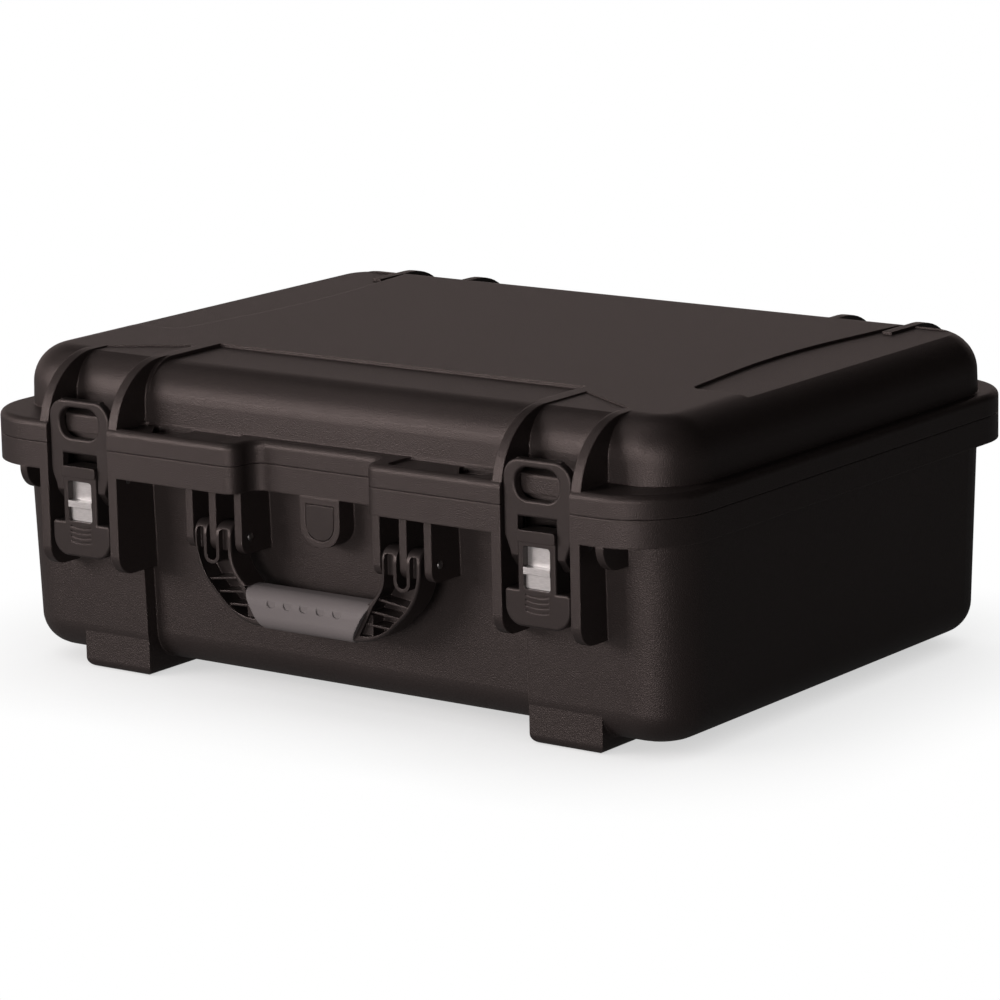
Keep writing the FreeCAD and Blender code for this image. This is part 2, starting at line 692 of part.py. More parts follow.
def handle():
    """The folding handle: a frame with two open, ribbed arms, and the rubber grip round its bar."""
    top = "handle_axis_z + arm_top"
    back = f"({HANDLE_Y} - arm_front + arm_thick)"
    front = f"({HANDLE_Y} - arm_front)"
    elbow = "(handle_axis_z - elbow_drop)"
    hand_top = "(handle_low + bar_tall)"
    frame = new_body("handle_frame")
    outer = [("arm_outer", top), ("arm_outer", elbow, "elbow_round"),
             ("elbow_x", "handle_low", "elbow_round")]
    inner = [("hand_half", hand_top, "hand_round"), ("arm_inner", "handle_axis_z - hand_drop", "hand_round"),
             ("arm_inner", top)]
    right = inner + outer
    whole = right + [("-" + corner[0],) + corner[1:] for corner in right[::-1]]
    raised(frame, "bow", "XZ_Plane", f"-{back}", "arm_thick", whole)
    softened(frame, "arm_ends", "arm_top - run_fit", level_edge_along_x(top))
    softened(frame, "bow_lip", "lip_soft", front_edge(front))
    fork = "(bracket_middle + bracket_thick/2)"
    pairs = [sunk(frame, "fork", "XZ_Plane", f"-{front}", "arm_thick",
                  [(f"{fork} + fork_half", f"{top} + wall"),
                   (f"{fork} + fork_half", "handle_axis_z - fork_low", "fork_half*fork_bend"),
                   (f"{fork} - fork_half", "handle_axis_z - fork_low", "fork_half*fork_bend"),
                   (f"{fork} - fork_half", f"{top} + wall")])]
    # The pocket leaves a thin wall along the arm's outline and round the fork
    high = "handle_axis_z + arm_top - 2*arm_wall"
    fork_in = f"{fork} - fork_half - arm_wall"
    fork_out = f"{fork} + fork_half + arm_wall"
    fork_foot = "handle_axis_z - fork_low - arm_wall"
    pocket_outer = [("arm_outer - arm_wall", f"{elbow} + arm_wall/2", "elbow_round - arm_wall"),
                    ("elbow_x + arm_wall", "handle_low + 2*arm_wall", "pocket_round")]
    pocket_inner = [("grip_low_half + 3*arm_wall", "handle_low + 2*arm_wall"),
                    ("grip_top_half + arm_wall", f"{hand_top} + arm_wall"),
                    ("arm_inner + arm_wall", "handle_axis_z - hand_drop + arm_wall/2", "hand_round")]
    prongs = [("arm_inner + arm_wall", high, "arm_wall"), (fork_in, high, "arm_wall"),
              (fork_in, fork_foot, "(fork_half + arm_wall)*fork_bend"),
              (fork_out, fork_foot, "(fork_half + arm_wall)*fork_bend"),
              (fork_out, high, "arm_wall"), ("arm_outer - arm_wall", high, "arm_wall")]
    pairs.append(sunk(frame, "arm_pocket", "XZ_Plane", f"-{front}", "arm_pocket",
                      pocket_outer + pocket_inner + prongs))
    for name, near, far in (("inner", "arm_inner + arm_wall/2", f"{fork_in} + arm_wall/2"),
                            ("outer", f"{fork_out} - arm_wall/2", "arm_outer - arm_wall/2")):
        seat = [(near, "handle_axis_z - arm_top"), (far, "handle_axis_z - arm_top"),
                (far, f"{high} + arm_wall/2"), (near, f"{high} + arm_wall/2")]
        pairs.append(raised(frame, "pin_seat_" + name, "XZ_Plane", f"-({front} + arm_pocket)",
                            "arm_pocket - prong_pocket", seat))
    rib_high = ("arm_inner + arm_wall/2", pocket_inner[2][1])
    rib_low = ("grip_low_half + 2*arm_wall", pocket_inner[0][1])
    spaces = int(value("cross_ribs")) + 1
    for place in range(1, spaces):
        share = place / spaces
        outer_spot = between(pocket_outer[0][:2], pocket_outer[1][:2], share)
        inner_spot = between(rib_high, rib_low, share)
        rib = [outer_spot, inner_spot, (inner_spot[0], f"{inner_spot[1]} - cross_rib"),
               (outer_spot[0], f"{outer_spot[1]} - cross_rib")]
        pairs.append(raised(frame, "cross_rib_%d" % place, "XZ_Plane", f"-({front} + arm_pocket)",
                            "arm_pocket - arm_wall", rib))
    pairs.append(sunk(frame, "axle_bore", "YZ_Plane", "arm_outer + wall", "arm_outer - arm_inner + 2*wall",
                      ("circle", (HANDLE_Y, "handle_axis_z"), "handle_pin_radius + run_fit")))
    mirrored(frame, "left_arm", pairs)
    # The bar is cut away between the grip's slanted ends, down to a square core
    low = "(handle_low - grip_over)"
    high = f"({low} + grip_tall)"
    grip_side = [("grip_top_half", high), ("grip_low_half", low)]
    grip_face = [grip_side[0], grip_side[1], ("-grip_low_half", low), ("-grip_top_half", high)]
    middle_y = f"({HANDLE_Y} - arm_front + arm_thick/2)"
    middle_z = f"({low} + grip_tall/2)"
    sunk(frame, "grip_room", "XZ_Plane", f"-({front})", "arm_thick",
         [(f"{x} + grip_gap" if "-" not in x else f"{x} - grip_gap", z) for x, z in grip_face])
    core = [(f"{middle_y} - core_thick/2", f"{middle_z} - core_tall/2"),
            (f"{middle_y} + core_thick/2", f"{middle_z} - core_tall/2"),
            (f"{middle_y} + core_thick/2", f"{middle_z} + core_tall/2"),
            (f"{middle_y} - core_thick/2", f"{middle_z} + core_tall/2")]
    raised(frame, "core", "YZ_Plane", "-grip_top_half", "2*grip_top_half", core)
    grip = new_body("handle_grip")
    raised(grip, "sleeve", "XZ_Plane", f"-({middle_y} + grip_thick/2)", "grip_thick", grip_face)
    softened(grip, "sleeve_edges", "grip_round", lambda edge: edge.BoundBox.ZMax - edge.BoundBox.ZMin < NEAR
             and edge.BoundBox.XMax - edge.BoundBox.XMin > value("grip_low_half"))
    sunk(grip, "core_hole", "YZ_Plane", "grip_top_half", "2*grip_top_half", core)
    for place in range(int(value("notches"))):
        notch_x = f"(({place} - (notches - 1)/2)*notch_pitch)"
        sunk(grip, "notch_%d" % place, "XZ_Plane", f"-({middle_y} - grip_thick/2)", "notch_deep",
             [(f"{notch_x} + notch_half", f"{high} + wall"),
              (f"{notch_x} + notch_half", f"{high} - notch_tall", "notch_half*notch_bend"),
              (f"{notch_x} - notch_half", f"{high} - notch_tall", "notch_half*notch_bend"),
              (f"{notch_x} - notch_half", f"{high} + wall")])
    for side, sign in SIDES:
        start = "bracket_inner" if sign == "" else "-(bracket_outer + bracket_thick)"
        rod("handle_pin_" + side, start, HANDLE_Y, "handle_axis_z", "handle_pin_radius",
            "bracket_outer + bracket_thick - bracket_inner")


def latch(side, sign):
    """One draw latch: lever, link, their pins, and the lock slider over its plate."""
    middle = f"({sign}latch_x)"
    lever_front = f"({FRONT} + lever_inset)"
    lever = new_body("latch_lever_" + side)
    half = [("foot_half", "lever_bottom", "lever_round"), ("foot_half", "lever_shoulder", "lever_soft"),
            ("column_half", "lever_shoulder"), ("column_half", "column_top", "lever_soft")]
    face = [(f"{middle} + {corner[0]}",) + corner[1:] for corner in half]
    face += [(f"{middle} - {corner[0]}",) + corner[1:] for corner in half[::-1]]
    raised(lever, "lever_" + side, "XZ_Plane", f"-({lever_front} + lever_thick)", "lever_thick", face)
    softened(lever, "lever_lip_" + side, "lip_soft", front_edge(lever_front))
    raised(lever, "lever_cap_" + side, "XZ_Plane", f"-({lever_front} + lip_soft)", "lever_inset + lip_soft",
           rounded_box(f"{middle} - column_half", f"{middle} + column_half", "column_top - cap_tall",
                       "column_top", "lip_soft"))
    lock_window = rounded_box(f"{middle} - lock_half", f"{middle} + lock_half", "lock_low", "lock_top",
                              "lever_soft")
    sunk(lever, "lock_window_" + side, "XZ_Plane", f"-({lever_front})", "lock_depth", lock_window)
    for place in range(int(value("grip_lines"))):
        low = f"lever_shoulder - {place + 1}*grip_line_pitch"
        sunk(lever, "grip_line_%s_%d" % (side, place), "XZ_Plane", f"-({lever_front})", "grip_line_deep",
             [(f"{middle} - grip_line_half", low), (middle, f"{low} - grip_line_sag", "grip_line_bend"),
              (f"{middle} + grip_line_half", low), (f"{middle} + grip_line_half", f"{low} + grip_line_tall"),
              (middle, f"{low} + grip_line_tall - grip_line_sag", "grip_line_bend"),
              (f"{middle} - grip_line_half", f"{low} + grip_line_tall")])
    for name, spot, radius in (("lever_bore_", (LEVER_Y, "lever_axis_z"), "lever_pin_radius + run_fit"),
                               ("link_bore_", (LINK_Y, "link_axis_z"), "link_pin_radius")):
        sunk(lever, name + side, "YZ_Plane", f"{middle} + foot_half", "2*foot_half", ("circle", spot, radius))

    link_front = f"({FRONT} + link_inset)"
    link_back = f"({link_front} + link_thick)"
    link = new_body("latch_link_" + side)
    leg_in = "(column_half + link_gap)"
    leg_out = f"({leg_in} + leg_thick)"
    half = [("link_half", "link_top", "link_round"), ("link_half", "crotch - link_round", "link_round"),
            (leg_out, "leg_knee"), (leg_in, "leg_knee"), (leg_in, "crotch")]
    plate = [(f"{middle} + {corner[0]}",) + corner[1:] for corner in half]
    plate += [(f"{middle} - {corner[0]}",) + corner[1:] for corner in half[::-1]]
    window = rounded_box(f"{middle} - window_half", f"{middle} + window_half", "window_low", "window_top",
                         "window_round")
    raised(link, "link_" + side, "XZ_Plane", f"-{link_back}", "link_thick", plate, window)
    link_face = front_edge(link_front)
    softened(link, "link_lip_" + side, "lip_soft",
             lambda edge: link_face(edge) and edge.BoundBox.ZMin > value("crotch - link_round") - NEAR)
    leg = [(link_front, "crotch - link_round"), (link_front, "leg_knee", "leg_round"),
           (f"{LINK_Y} - leg_round", "link_axis_z - leg_round", "leg_round*leg_bend"),
           (f"{LINK_Y} + leg_round", "link_axis_z - leg_round", "leg_round*leg_bend"),
           (f"{LINK_Y} + leg_round", "leg_knee", "leg_round"), (f"{link_front} + leg_neck", "neck_low"),
           (f"{link_front} + leg_neck", "neck_top"), (link_back, "crotch - link_round")]
    for name, start in (("outer_leg_", f"{middle} + {leg_in}"), ("inner_leg_", f"{middle} - {leg_out}")):
        raised(link, name + side, "YZ_Plane", start, "leg_thick", leg)
    nose = [(f"{middle} - window_half", "window_top"), (f"{middle} + window_half", "window_top"),
            (f"{middle} + window_half", "link_top"), (f"{middle} - window_half", "link_top")]
    raised(link, "nose_" + side, "XZ_Plane", f"-({link_back} + nose_depth)",
           "nose_depth + link_thick/2", nose)
    sunk(link, "pin_bore_" + side, "YZ_Plane", f"{middle} + link_half", "2*link_half",
         ("circle", (LINK_Y, "link_axis_z"), "link_pin_radius + run_fit"))

    rod("lever_pin_" + side, f"{middle} - bay_half - rib_thick", LEVER_Y, "lever_axis_z", "lever_pin_radius",
        "2*bay_half + 2*rib_thick")
    rod("link_pin_" + side, f"{middle} - {leg_out}", LINK_Y, "link_axis_z", "link_pin_radius", f"2*{leg_out}")

    lock_back = f"({lever_front} + lock_depth)"
    lock_plate = new_body("lock_plate_" + side)
    raised(lock_plate, "lock_plate_face_" + side, "XZ_Plane", f"-{lock_back}", "lock_plate", lock_window)
    slider = new_body("lock_slider_" + side)
    slide = "(lock_half - slide_gap)"
    raised(slider, "slider_" + side, "XZ_Plane", f"-({lock_back} - lock_plate)", "slider_thick",
           rounded_box(f"{middle} - {slide}", f"{middle} + {slide}", "lock_low + slide_gap",
                       "lock_low + slide_gap + slider_tall", "lever_soft - slide_gap"))
    raised(slider, "thumb_" + side, "XZ_Plane", f"-({lock_back} - lock_plate)", "slider_thick + thumb_proud",
           [(f"{middle} - {slide}", "lock_low + slide_gap + slider_tall - thumb_tall"),
            (f"{middle} + {slide}", "lock_low + slide_gap + slider_tall - thumb_tall"),
            (f"{middle} + {slide}", "lock_low + slide_gap + slider_tall"),
            (f"{middle} - {slide}", "lock_low + slide_gap + slider_tall")])


base_shell()
lid_shell()
lid_gasket()
hinge_pins()
valve()
handle()
for case_side, case_sign in SIDES:
    latch(case_side, case_sign)
doc.recompute()

# Bodies that were cut out of another body aren't pieces of the case
CUTTERS = ("base_inside", "lid_inside")
pieces = []
for item in doc.Objects:
    if "Invalid" in item.State or "Error" in item.State:
        raise RuntimeError("%s failed: %s" % (item.Name, item.getStatusString()))
    if item.TypeId in ("PartDesign::Body", "Part::Cylinder") and item.Label not in CUTTERS:
        pieces.append(item)
for piece in pieces:
    if piece.Shape.isNull() or not piece.Shape.isValid() or len(piece.Shape.Solids) != 1:
        raise RuntimeError("%s isn't one valid solid" % piece.Label)
os.makedirs("parts", exist_ok=True)
for piece in pieces:
    piece.Shape.exportStep("parts/%s.step" % piece.Label)
    print("%-20s %10.0f mm3" % (piece.Label, piece.Shape.Volume))
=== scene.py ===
# %% [markdown]
# # A moulded hard carrying case
# The case is a tub and a lid of black plastic, drawn together by two latches and carried by a folding
# handle. Its solids come from the CAD model as a fixed frame, so this lesson is about what a camera sees:
# the moulded grain, the soft edges, the metal of the locks and the light of a small photo studio.

# %% Load the frame
import json
import math

import bmesh
import bpy
from mathutils import Matrix, Vector


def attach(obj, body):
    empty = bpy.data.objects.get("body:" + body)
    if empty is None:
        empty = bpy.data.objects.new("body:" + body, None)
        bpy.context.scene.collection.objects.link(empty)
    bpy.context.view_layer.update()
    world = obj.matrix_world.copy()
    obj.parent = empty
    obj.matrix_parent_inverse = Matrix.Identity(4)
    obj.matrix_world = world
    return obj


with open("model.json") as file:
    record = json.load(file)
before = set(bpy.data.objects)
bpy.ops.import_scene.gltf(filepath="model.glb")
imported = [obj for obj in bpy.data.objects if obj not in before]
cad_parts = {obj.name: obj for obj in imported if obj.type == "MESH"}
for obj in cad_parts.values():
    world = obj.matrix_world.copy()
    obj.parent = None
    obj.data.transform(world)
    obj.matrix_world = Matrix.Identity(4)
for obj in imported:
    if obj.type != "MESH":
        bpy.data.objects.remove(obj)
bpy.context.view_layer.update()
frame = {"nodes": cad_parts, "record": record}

NODES = frame["nodes"]

# %% [markdown]
# ## Camera
# A long lens stands in front of the case, to its right and a little above it. The long lens keeps the
# edges nearly parallel, as a catalogue picture has them. The camera is turned a degree about its own axis,
# and the lens is shifted instead of tilted, which leaves the upright edges where they are.

# %% The camera at the photographer's place
AZIMUTH = math.radians(36.29)
ELEVATION = math.radians(11.89)
ROLL = math.radians(-1.18)
AIM = Vector((0.0, -0.0066, 0.119))
DISTANCE = 2.75
SENSOR = 36.0
LENS = 163.6
SHIFT = (-0.0005, -0.0423)
FARTHEST = 20.0

back = Vector((math.sin(AZIMUTH) * math.cos(ELEVATION),
               -math.cos(AZIMUTH) * math.cos(ELEVATION),
               math.sin(ELEVATION)))
level_right = Vector((math.cos(AZIMUTH), math.sin(AZIMUTH), 0.0))
level_up = back.cross(level_right)
right = level_right * math.cos(ROLL) + level_up * math.sin(ROLL)
up = level_up * math.cos(ROLL) - level_right * math.sin(ROLL)
place = AIM + back * DISTANCE

lens = bpy.data.cameras.new("studio_camera")
lens.sensor_width = SENSOR
lens.lens = LENS
lens.shift_x, lens.shift_y = SHIFT
lens.clip_end = FARTHEST
camera = bpy.data.objects.new("studio_camera", lens)
camera.matrix_world = Matrix(((right.x, up.x, back.x, place.x),
                              (right.y, up.y, back.y, place.y),
                              (right.z, up.z, back.z, place.z),
                              (0, 0, 0, 1)))
bpy.context.scene.collection.objects.link(camera)
bpy.context.scene.camera = camera
bpy.context.scene.view_settings.view_transform = "Standard"
print("camera at", tuple(round(c, 3) for c in place))

# %% [markdown]
# ## Small tools for node trees
# Every material below is a tree of nodes. These helpers each add one node, feed it with sockets or plain
# values, and hand back the socket that holds its result, so that a material reads as a few lines.

# %% Helpers that place and link nodes
def add_node(tree, kind, **settings):
    """A new node with its settings."""
    node = tree.nodes.new(kind)
    for name, setting in settings.items():
        setattr(node, name, setting)
    return node


def feed(tree, source, target):
    """Link one socket to another, or write a plain value on the target."""
    if isinstance(source, bpy.types.NodeSocket):
        tree.links.new(source, target)
    else:
        target.default_value = source


def new_material(name):
    """A material with its node tree and its Principled shader."""
    material = bpy.data.materials.new(name)
    material.use_nodes = True
    return material, material.node_tree, material.node_tree.nodes["Principled BSDF"]


def new_group(name, inputs, outputs):
    """A shader node group with float inputs and typed outputs."""
    group = bpy.data.node_groups.new(name, "ShaderNodeTree")
    for label, start in inputs.items():
        socket = group.interface.new_socket(label, in_out="INPUT", socket_type="NodeSocketFloat")
        socket.default_value = start
    for label, kind in outputs.items():
        group.interface.new_socket(label, in_out="OUTPUT", socket_type=kind)
    return group, group.nodes.new("NodeGroupInput"), group.nodes.new("NodeGroupOutput")


print("helpers that place and link nodes are ready")

# %% [markdown]
# The second set holds the few sums, ramps and textures that the finishes share.

# %% Helpers that compute
def math_node(tree, operation, first, second):
    """The result of one operation on two sockets or plain numbers."""
    node = add_node(tree, "ShaderNodeMath", operation=operation)
    feed(tree, first, node.inputs[0])
    feed(tree, second, node.inputs[1])
    return node.outputs[0]


def noise(tree, where, scale, detail):
    """The value of a noise texture."""
    node = add_node(tree, "ShaderNodeTexNoise")
    feed(tree, where, node.inputs["Vector"])
    feed(tree, scale, node.inputs["Scale"])
    feed(tree, detail, node.inputs["Detail"])
    return node.outputs[0]


def remap(tree, value, start, end, window=(0.0, 1.0), kind="LINEAR"):
    """A value carried from a window of inputs to the range from start to end."""
    node = add_node(tree, "ShaderNodeMapRange", interpolation_type=kind)
    feed(tree, value, node.inputs["Value"])
    feed(tree, window[0], node.inputs["From Min"])
    feed(tree, window[1], node.inputs["From Max"])
    feed(tree, start, node.inputs["To Min"])
    feed(tree, end, node.inputs["To Max"])
    return node.outputs["Result"]


def mix(tree, kind, factor, first, second):
    """Two floats or two colours mixed by a factor."""
    node = add_node(tree, "ShaderNodeMix", data_type=kind)
    feed(tree, factor, node.inputs["Factor"])
    feed(tree, first, node.inputs["A"])
    feed(tree, second, node.inputs["B"])
    return node.outputs["Result"]


def ramp(tree, factor, stops):
    """A colour ramp through (position, colour) stops."""
    node = add_node(tree, "ShaderNodeValToRGB")
    while len(node.color_ramp.elements) < len(stops):
        node.color_ramp.elements.new(0.5)
    for element, (position, colour) in zip(node.color_ramp.elements, stops):
        element.position = position
        element.color = (*colour, 1)
    feed(tree, factor, node.inputs[0])
    return node.outputs["Color"]


def bumped(tree, height, normal, strength, depth):
    """A normal with the relief of a height on it."""
    node = add_node(tree, "ShaderNodeBump")
    feed(tree, strength, node.inputs["Strength"])
    feed(tree, depth, node.inputs["Distance"])
    feed(tree, height, node.inputs["Height"])
    feed(tree, normal, node.inputs["Normal"])
    return node.outputs["Normal"]


print("helpers that compute are ready")

# %% [markdown]
# ## Effects that several finishes share
# The shells, the latch pieces and the handle come out of textured steel moulds, so they all carry a fine
# grain, and all of them catch light on their edges. Each effect is a shader node group: it is built once
# and placed in every material with that finish's own numbers. A group puts out heights, masks and normals,
# and the shader itself stays in the material.
#
# ### Moulded grain
# A spark-eroded mould leaves a skin of tiny rounded pits, under a millimetre across. A fine noise gives the
# pits, and a finer one breaks up their rims. A third, much larger noise is the mottle: the faint cloudiness
# that any large moulding shows.

# %% Group: moulded grain
RIMS_PER_PIT = 2.3
CLOUDS_PER_METRE = 9.0
CLOUD_DETAIL = 4.0
grain, grain_in, grain_out = new_group(
    "moulded_grain", {"Pits per metre": 1500.0, "Fineness": 0.35},
    {"Height": "NodeSocketFloat", "Mottle": "NodeSocketFloat"})
where = add_node(grain, "ShaderNodeTexCoord").outputs["Object"]
pit_scale = grain_in.outputs["Pits per metre"]
pits = noise(grain, where, pit_scale, 0.0)
rims = noise(grain, where, math_node(grain, "MULTIPLY", pit_scale, RIMS_PER_PIT), 0.0)
rough_rims = math_node(grain, "MULTIPLY", rims, grain_in.outputs["Fineness"])
feed(grain, math_node(grain, "ADD", pits, rough_rims), grain_out.inputs["Height"])
feed(grain, noise(grain, where, CLOUDS_PER_METRE, CLOUD_DETAIL), grain_out.inputs["Mottle"])
print("group", grain.name, "has", len(grain.nodes), "nodes")

# %% [markdown]
# ### Soft edges
# No moulded edge is a knife edge: each has a small radius, and that radius is what draws the bright line
# along the ribs and rims. A Bevel node rounds the normal near an edge. How far the rounded normal leans
# away from the true one is a mask of the edges. The finishes use it to make the grain smoother there, as
# hands and straps polish it. They also paint the edges paler, a painted highlight that strengthens those
# bright lines.

# %% Group: soft edges
EDGE_MASK_GAIN = 4.0
edges, edges_in, edges_out = new_group(
    "soft_edges", {"Radius": 0.001},
    {"Normal": "NodeSocketVector", "Polish and highlight": "NodeSocketFloat"})
bevel = add_node(edges, "ShaderNodeBevel", samples=3)
feed(edges, edges_in.outputs["Radius"], bevel.inputs["Radius"])
true_face = add_node(edges, "ShaderNodeNewGeometry")
lean = add_node(edges, "ShaderNodeVectorMath", operation="DOT_PRODUCT")
feed(edges, bevel.outputs["Normal"], lean.inputs[0])
feed(edges, true_face.outputs["Normal"], lean.inputs[1])
# The edge mask makes edges smoother and also paints them paler, a painted highlight.
away = math_node(edges, "SUBTRACT", 1.0, lean.outputs["Value"])
gained = math_node(edges, "MULTIPLY", away, EDGE_MASK_GAIN)
feed(edges, math_node(edges, "MINIMUM", gained, 1.0), edges_out.inputs["Polish and highlight"])
feed(edges, bevel.outputs["Normal"], edges_out.inputs["Normal"])
print("group", edges.name, "has", len(edges.nodes), "nodes")

# %% [markdown]
# ## Finishes
# Every finish of the case is one material with the same plan: the mottle moves the colour between two near
# tones, the grain moves the roughness and is the height of the bump, and the edges are smoother and glossier
# than the faces and painted paler, a painted highlight. A function holds that plan, and each finish gives its
# own colours and numbers.

# %% The plan of a moulded finish
LOW_STOP, HIGH_STOP = 0.3, 0.7
PIT_ROUGHNESS = 0.06
HIGHEST_GRAIN = 0.9
PIT_DEPTH = 0.0003


def moulded(name, dark, pale, painted_edge_highlight, rough, polished, pits_per_metre, bump, edge, gloss, edge_gloss,
            tint=(1.0, 1.0, 1.0)):
    """A moulded plastic or rubber: two near tones, smoother edges painted paler as a painted highlight, and
    pitted grain.
    """
    material, tree, shader = new_material(name)
    skin = add_node(tree, "ShaderNodeGroup", node_tree=grain)
    feed(tree, pits_per_metre, skin.inputs["Pits per metre"])
    rim = add_node(tree, "ShaderNodeGroup", node_tree=edges)
    feed(tree, edge, rim.inputs["Radius"])
    height = skin.outputs["Height"]
    polish_and_highlight = rim.outputs["Polish and highlight"]
    tone = ramp(tree, skin.outputs["Mottle"], ((LOW_STOP, dark), (HIGH_STOP, pale)))
    # Painted highlight: a paler colour is mixed into the base colour along the edges.
    feed(tree, mix(tree, "RGBA", polish_and_highlight, tone, (*painted_edge_highlight, 1)), shader.inputs["Base Color"])
    pitted = remap(tree, height, rough - PIT_ROUGHNESS, rough + PIT_ROUGHNESS, window=(0.0, HIGHEST_GRAIN))
    feed(tree, mix(tree, "FLOAT", polish_and_highlight, pitted, polished), shader.inputs["Roughness"])
    feed(tree, remap(tree, polish_and_highlight, gloss, edge_gloss), shader.inputs["Specular IOR Level"])
    feed(tree, (*tint, 1), shader.inputs["Specular Tint"])
    feed(tree, bumped(tree, height, rim.outputs["Normal"], bump, PIT_DEPTH), shader.inputs["Normal"])
    return material


print("the plan of a moulded finish is ready")

# %% [markdown]
# The plastics are nearly black, so most of what a camera sees of them is their warm gloss. The grip is a
# grey rubber without much gloss. The seal and the felt of the valve show only when the case is open or apart.

# %% Moulded finishes
# The paler edge colour of each finish is a painted highlight along its edges.
WARM_GLOSS = (1.0, 0.87, 0.84)
SHELL = moulded("shell_plastic", dark=(0.016, 0.0132, 0.0128), pale=(0.020, 0.0165, 0.016),
                painted_edge_highlight=(0.060, 0.049, 0.047), rough=0.40, polished=0.20, pits_per_metre=1700,
                bump=0.55, edge=0.0012, gloss=0.5, edge_gloss=1.0, tint=WARM_GLOSS)
LATCH = moulded("latch_nylon", dark=(0.013, 0.011, 0.0108), pale=(0.016, 0.0136, 0.0134),
                painted_edge_highlight=(0.055, 0.046, 0.045), rough=0.34, polished=0.20, pits_per_metre=2600,
                bump=0.25, edge=0.0008, gloss=0.5, edge_gloss=1.0, tint=WARM_GLOSS)
GRIP = moulded("grip_rubber", dark=(0.130, 0.122, 0.124), pale=(0.160, 0.150, 0.152),
               painted_edge_highlight=(0.175, 0.165, 0.167), rough=0.62, polished=0.5, pits_per_metre=2000,
               bump=0.3, edge=0.0012, gloss=0.3, edge_gloss=0.3)
SEAL = moulded("seal_rubber", dark=(0.020, 0.020, 0.020), pale=(0.028, 0.028, 0.028),
               painted_edge_highlight=(0.030, 0.030, 0.030), rough=0.7, polished=0.6, pits_per_metre=2000,
               bump=0.2, edge=0.0004, gloss=0.3, edge_gloss=0.3)
MEMBRANE = moulded("membrane_felt", dark=(0.70, 0.70, 0.68), pale=(0.80, 0.80, 0.78),
                   painted_edge_highlight=(0.80, 0.80, 0.78), rough=0.9, polished=0.85, pits_per_metre=4000,
                   bump=0.3, edge=0.0002, gloss=0.3, edge_gloss=0.3)
print("moulded finishes", [m.name for m in (SHELL, LATCH, GRIP, SEAL, MEMBRANE)])

# %% [markdown]
# ### Metals
# The lock plates and sliders are satin die castings, and the pins are drawn steel. Both are brushed along
# one direction, which a noise stretched along that direction shows.

# %% Metal finishes
STREAK_DETAIL = 3.0
STREAK_SHADE = 0.8
SMOOTHER, ROUGHER = 0.08, 0.12
STREAK_BUMP = 0.1
STREAK_DEPTH = 0.0002


def metal(name, colour, rough, stretch, edge):
    """A satin metal with fine streaks along one axis."""
    material, tree, shader = new_material(name)
    feed(tree, 1.0, shader.inputs["Metallic"])
    spread = add_node(tree, "ShaderNodeMapping")
    feed(tree, add_node(tree, "ShaderNodeTexCoord").outputs["Object"], spread.inputs["Vector"])
    feed(tree, stretch, spread.inputs["Scale"])
    streaks = noise(tree, spread.outputs["Vector"], 1.0, STREAK_DETAIL)
    shaded = tuple(c * STREAK_SHADE for c in colour)
    feed(tree, ramp(tree, streaks, ((LOW_STOP, shaded), (HIGH_STOP, colour))), shader.inputs["Base Color"])
    feed(tree, remap(tree, streaks, rough - SMOOTHER, rough + ROUGHER), shader.inputs["Roughness"])
    rim = add_node(tree, "ShaderNodeGroup", node_tree=edges)
    feed(tree, edge, rim.inputs["Radius"])
    relief = bumped(tree, streaks, rim.outputs["Normal"], STREAK_BUMP, STREAK_DEPTH)
    feed(tree, relief, shader.inputs["Normal"])
    return material


LOCK = metal("lock_zinc", colour=(0.60, 0.60, 0.60), rough=0.42, stretch=(300, 300, 2500), edge=0.0004)
PIN = metal("pin_steel", colour=(0.30, 0.30, 0.30), rough=0.35, stretch=(200, 3000, 3000), edge=0.0003)
print("metal finishes", [m.name for m in (LOCK, PIN)])

# %% [markdown]
# ### Each piece gets its finish
# The record says which material slot each node of the CAD model has, and each slot has one finish here.

# %% Give each node its finish
FINISHES = {"shell": SHELL, "latch": LATCH, "grip": GRIP, "seal": SEAL, "membrane": MEMBRANE,
            "lock": LOCK, "pin": PIN}
SLOT_OF = {entry["node"]: entry["material_slot"] for entry in frame["record"]["subparts"]}
for name, piece in NODES.items():
    piece.data.materials.clear()
    piece.data.materials.append(FINISHES[SLOT_OF[name]])
print("finishes on", len(NODES), "nodes")

# %% [markdown]
# ## Pin heads
# The steel pins of the handle are closed over the outer faces of their brackets, as rivets are. Each end
# gets a low dome, which catches a small bright dot where a flat end would stay dark. The heads belong to the
# tub, so they ride on its body.

# %% A domed head
HEAD_RADIUS = 0.0024
HEAD_RISE = 0.0012


def pin_head(name, spot, side):
    """A dome that rises along X from a pin's end; side is -1 or 1."""
    shape = bmesh.new()
    bmesh.ops.create_uvsphere(shape, u_segments=32, v_segments=24, radius=1.0)
    whole = shape.verts[:] + shape.edges[:] + shape.faces[:]
    bmesh.ops.bisect_plane(shape, geom=whole, plane_co=(0, 0, 0), plane_no=(side, 0, 0), clear_inner=True)
    bmesh.ops.scale(shape, vec=(HEAD_RISE, HEAD_RADIUS, HEAD_RADIUS), verts=shape.verts)
    for face in shape.faces:
        face.smooth = True
    mesh = bpy.data.meshes.new(name)
    shape.to_mesh(mesh)
    shape.free()
    mesh.materials.append(PIN)
    head = bpy.data.objects.new(name, mesh)
    head.location = spot
    bpy.context.scene.collection.objects.link(head)
    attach(head, "base")
    return head


print("a head is", 2000 * HEAD_RADIUS, "mm wide")

# %% [markdown]
# The pins' own boxes say where their ends are. Each head sits a little into the bracket, so that its rim
# leaves no gap.

